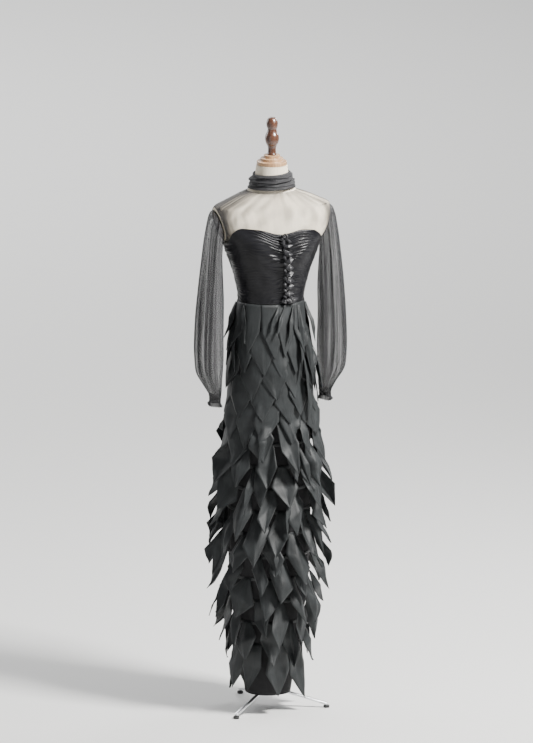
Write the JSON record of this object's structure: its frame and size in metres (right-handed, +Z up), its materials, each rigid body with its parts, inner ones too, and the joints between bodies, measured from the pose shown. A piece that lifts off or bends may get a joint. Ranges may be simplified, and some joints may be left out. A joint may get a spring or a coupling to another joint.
{
  "type": "evening dress on dress form",
  "caption": "Long black evening dress with sheer bishop sleeves, ruched bodice and a petal-covered narrow skirt, on a limbless tripod dress form.",
  "frame": {"origin": "on the floor under the middle of the whole part's box, where the stand's pole comes down", "axes": "+Z up, the dress's front faces -Y, the wearer's left is +X"},
  "size_m": [0.491, 0.3798, 1.872],
  "materials": {
    "form_cotton": "matte woven cotton",
    "turned_wood": "dark satin lacquer",
    "bright_steel": "bright",
    "foot_rubber": "matte",
    "black_satin": "soft satin sheen, ruched",
    "black_net": "sheer fine net",
    "charcoal_taffeta": "stiff, matte with a faint sheen",
    "black_underskirt": "matte"
  },
  "bodies": {
    "root": {"torso": "form_cotton", "armhole_plate_left": "turned_wood", "armhole_plate_right": "turned_wood", "neck_cap": "turned_wood", "finial": "turned_wood", "base_plate": "turned_wood", "pole": "bright_steel", "hub": "bright_steel", "leg_1": "bright_steel", "leg_2": "bright_steel", "leg_3": "bright_steel", "foot_1": "foot_rubber", "foot_2": "foot_rubber", "foot_3": "foot_rubber", "bodice_front_left": "black_satin", "bodice_front_right": "black_satin", "bodice_back": "black_satin", "front_ruffle_strip": "black_satin", "front_knot": "black_satin", "yoke_front": "black_net", "yoke_back": "black_net", "collar": "black_net", "sleeve_left": "black_net", "sleeve_right": "black_net", "cuff_left": "black_net", "cuff_right": "black_net", "underskirt_front": "black_underskirt", "underskirt_back": "black_underskirt", "petal_tier_01": "charcoal_taffeta", "petal_tier_02": "charcoal_taffeta", "petal_tier_03": "charcoal_taffeta", "petal_tier_04": "charcoal_taffeta", "petal_tier_05": "charcoal_taffeta", "petal_tier_06": "charcoal_taffeta", "petal_tier_07": "charcoal_taffeta", "petal_tier_08": "charcoal_taffeta", "petal_tier_09": "charcoal_taffeta", "petal_tier_10": "charcoal_taffeta", "petal_tier_11": "charcoal_taffeta", "petal_tier_12": "charcoal_taffeta", "petal_tier_13": "charcoal_taffeta", "petal_tier_14": "charcoal_taffeta", "petal_tier_15": "charcoal_taffeta", "petal_tier_16": "charcoal_taffeta"}
  },
  "joints": []
}
